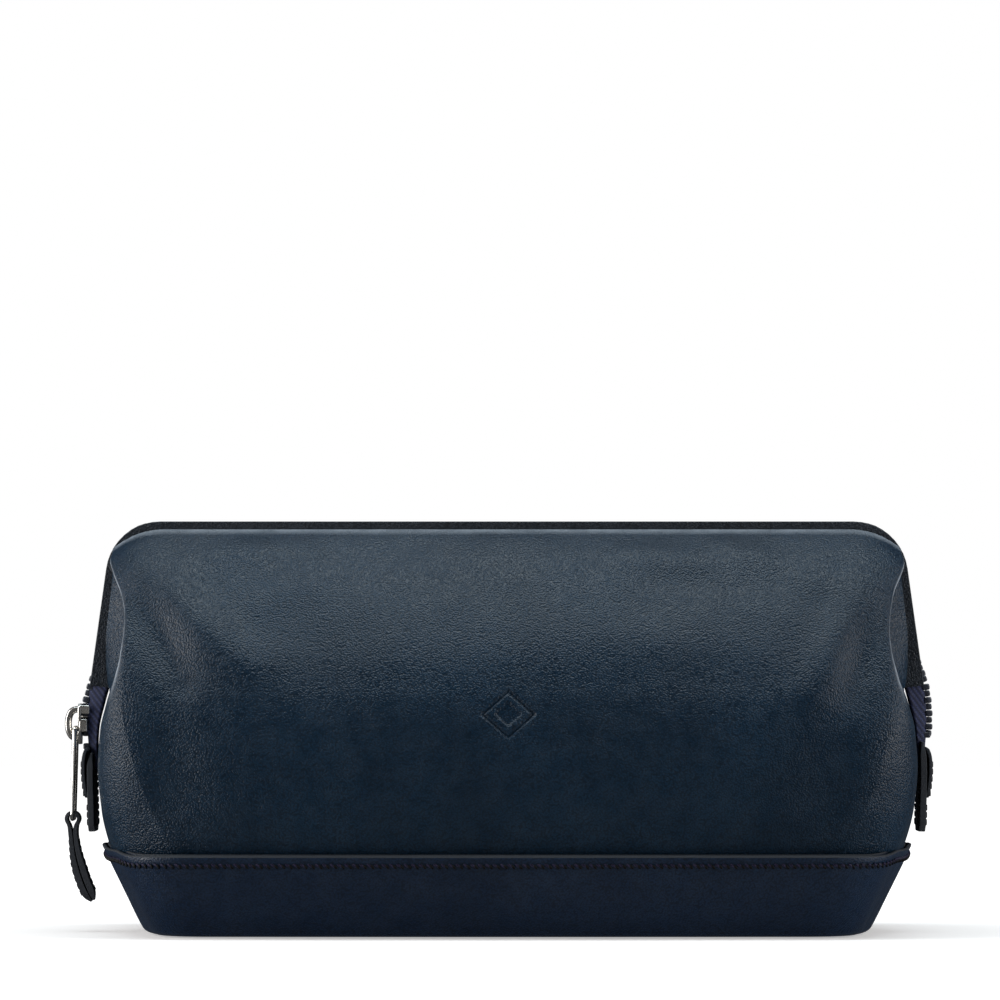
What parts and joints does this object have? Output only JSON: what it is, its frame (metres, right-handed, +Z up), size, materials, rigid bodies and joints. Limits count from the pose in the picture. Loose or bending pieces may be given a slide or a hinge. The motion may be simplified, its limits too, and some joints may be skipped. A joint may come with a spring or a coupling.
{
  "type": "shaving kit bag",
  "caption": "Framed leather wash bag with sprung jaws that part over a zip, a stiff boat-shaped bottom band, end tabs and a wire-and-strap zip pull.",
  "frame": {"origin": "centre of the face the bag stands on", "axes": "+Z up, +X to the right end (the zip pull hangs at the -X end), -Y the front face"},
  "size_m": [0.3023, 0.1248, 0.1425],
  "materials": {
    "thread": "waxed thread, slightly glossy",
    "lining": "woven lining cloth",
    "zip_tape": "twill-woven zip tape",
    "zip_teeth": "moulded teeth",
    "spring_steel": "flat spring steel",
    "polished_metal": "polished plating",
    "board": "pressed fibre board",
    "band_leather": "fine grain, semi-matt",
    "black_leather": "smooth, semi-gloss",
    "sleeve_leather": "fine grain with pale cut edges",
    "body_leather": "fine pebble grain, soft sheen"
  },
  "bodies": {
    "root": {"bottom_band": "band_leather", "base_board": "board", "band_backing": "band_leather", "band_stitches": "thread", "lining_base": "lining", "front_panel_lower": "body_leather", "back_panel_lower": "body_leather", "left_gusset_lower": "body_leather", "right_gusset_lower": "body_leather", "lining_walls": "lining"},
    "front_frame": {"front_panel_upper": "body_leather", "front_lining_upper": "lining", "front_gusset_left": "body_leather", "front_gusset_right": "body_leather", "front_frame_sleeve": "sleeve_leather", "front_frame_bar": "spring_steel", "front_zip_tape": "zip_tape", "front_zip_teeth": "zip_teeth"},
    "back_frame": {"back_panel_upper": "body_leather", "back_lining_upper": "lining", "back_gusset_left": "body_leather", "back_gusset_right": "body_leather", "back_frame_sleeve": "sleeve_leather", "back_frame_bar": "spring_steel", "back_zip_tape": "zip_tape", "back_zip_teeth": "zip_teeth"},
    "left_tail": {"left_tail_tape": "zip_tape", "left_tail_teeth": "zip_teeth", "left_zip_stop": "polished_metal", "left_tab_inner": "black_leather", "left_tab_outer": "black_leather", "left_tab_stitches": "thread"},
    "right_tail": {"right_tail_tape": "zip_tape", "right_tail_teeth": "zip_teeth", "right_zip_stop": "polished_metal"},
    "right_tab": {"right_tab_inner": "black_leather", "right_tab_outer": "black_leather", "right_tab_stitches": "thread"},
    "slider": {"slider_body": "polished_metal", "slider_crown": "polished_metal"},
    "wire_pull": {"pull_wire": "polished_metal"},
    "strap_pull": {"pull_strap": "black_leather", "pull_strap_stitches": "thread"}
  },
  "joints": [
    {"name": "front_frame_opening", "type": "hinge", "parent": "root", "child": "front_frame", "pos_m": [0, -0.035, 0.085], "axis": [1, 0, 0], "range_deg": [0, 40]},
    {"name": "back_frame_opening", "type": "hinge", "parent": "root", "child": "back_frame", "pos_m": [0, 0.035, 0.085], "axis": [-1, 0, 0], "range_deg": [0, 40]},
    {"name": "left_tail_rise", "type": "slide", "parent": "root", "child": "left_tail", "axis": [0, 0, 1], "range_m": [0, 0.0176]},
    {"name": "right_tail_rise", "type": "slide", "parent": "root", "child": "right_tail", "axis": [0, 0, 1], "range_m": [0, 0.0176]},
    {"name": "right_tab_flex", "type": "hinge", "parent": "right_tail", "child": "right_tab", "pos_m": [0.1463, 0, 0.0655], "axis": [0, -1, 0], "range_deg": [0, 40]},
    {"name": "slider_travel", "type": "slide", "parent": "left_tail", "child": "slider", "axis": [0.023, 0, 0.9997], "range_m": [0, 0.007]},
    {"name": "wire_pull_swing", "type": "hinge", "parent": "slider", "child": "wire_pull", "pos_m": [-0.1506, 0, 0.0705], "axis": [0, 1, 0], "range_deg": [0, 120]},
    {"name": "strap_pull_swing", "type": "hinge", "parent": "wire_pull", "child": "strap_pull", "pos_m": [-0.1514, 0, 0.039], "axis": [0, 1, 0], "range_deg": [0, 75]}
  ],
  "couplings": [
    {"joint": "back_frame_opening", "follows": "front_frame_opening", "ratio": 1},
    {"joint": "left_tail_rise", "follows": "front_frame_opening", "m_per_rad": 0.025067},
    {"joint": "right_tail_rise", "follows": "front_frame_opening", "m_per_rad": 0.025067}
  ]
}
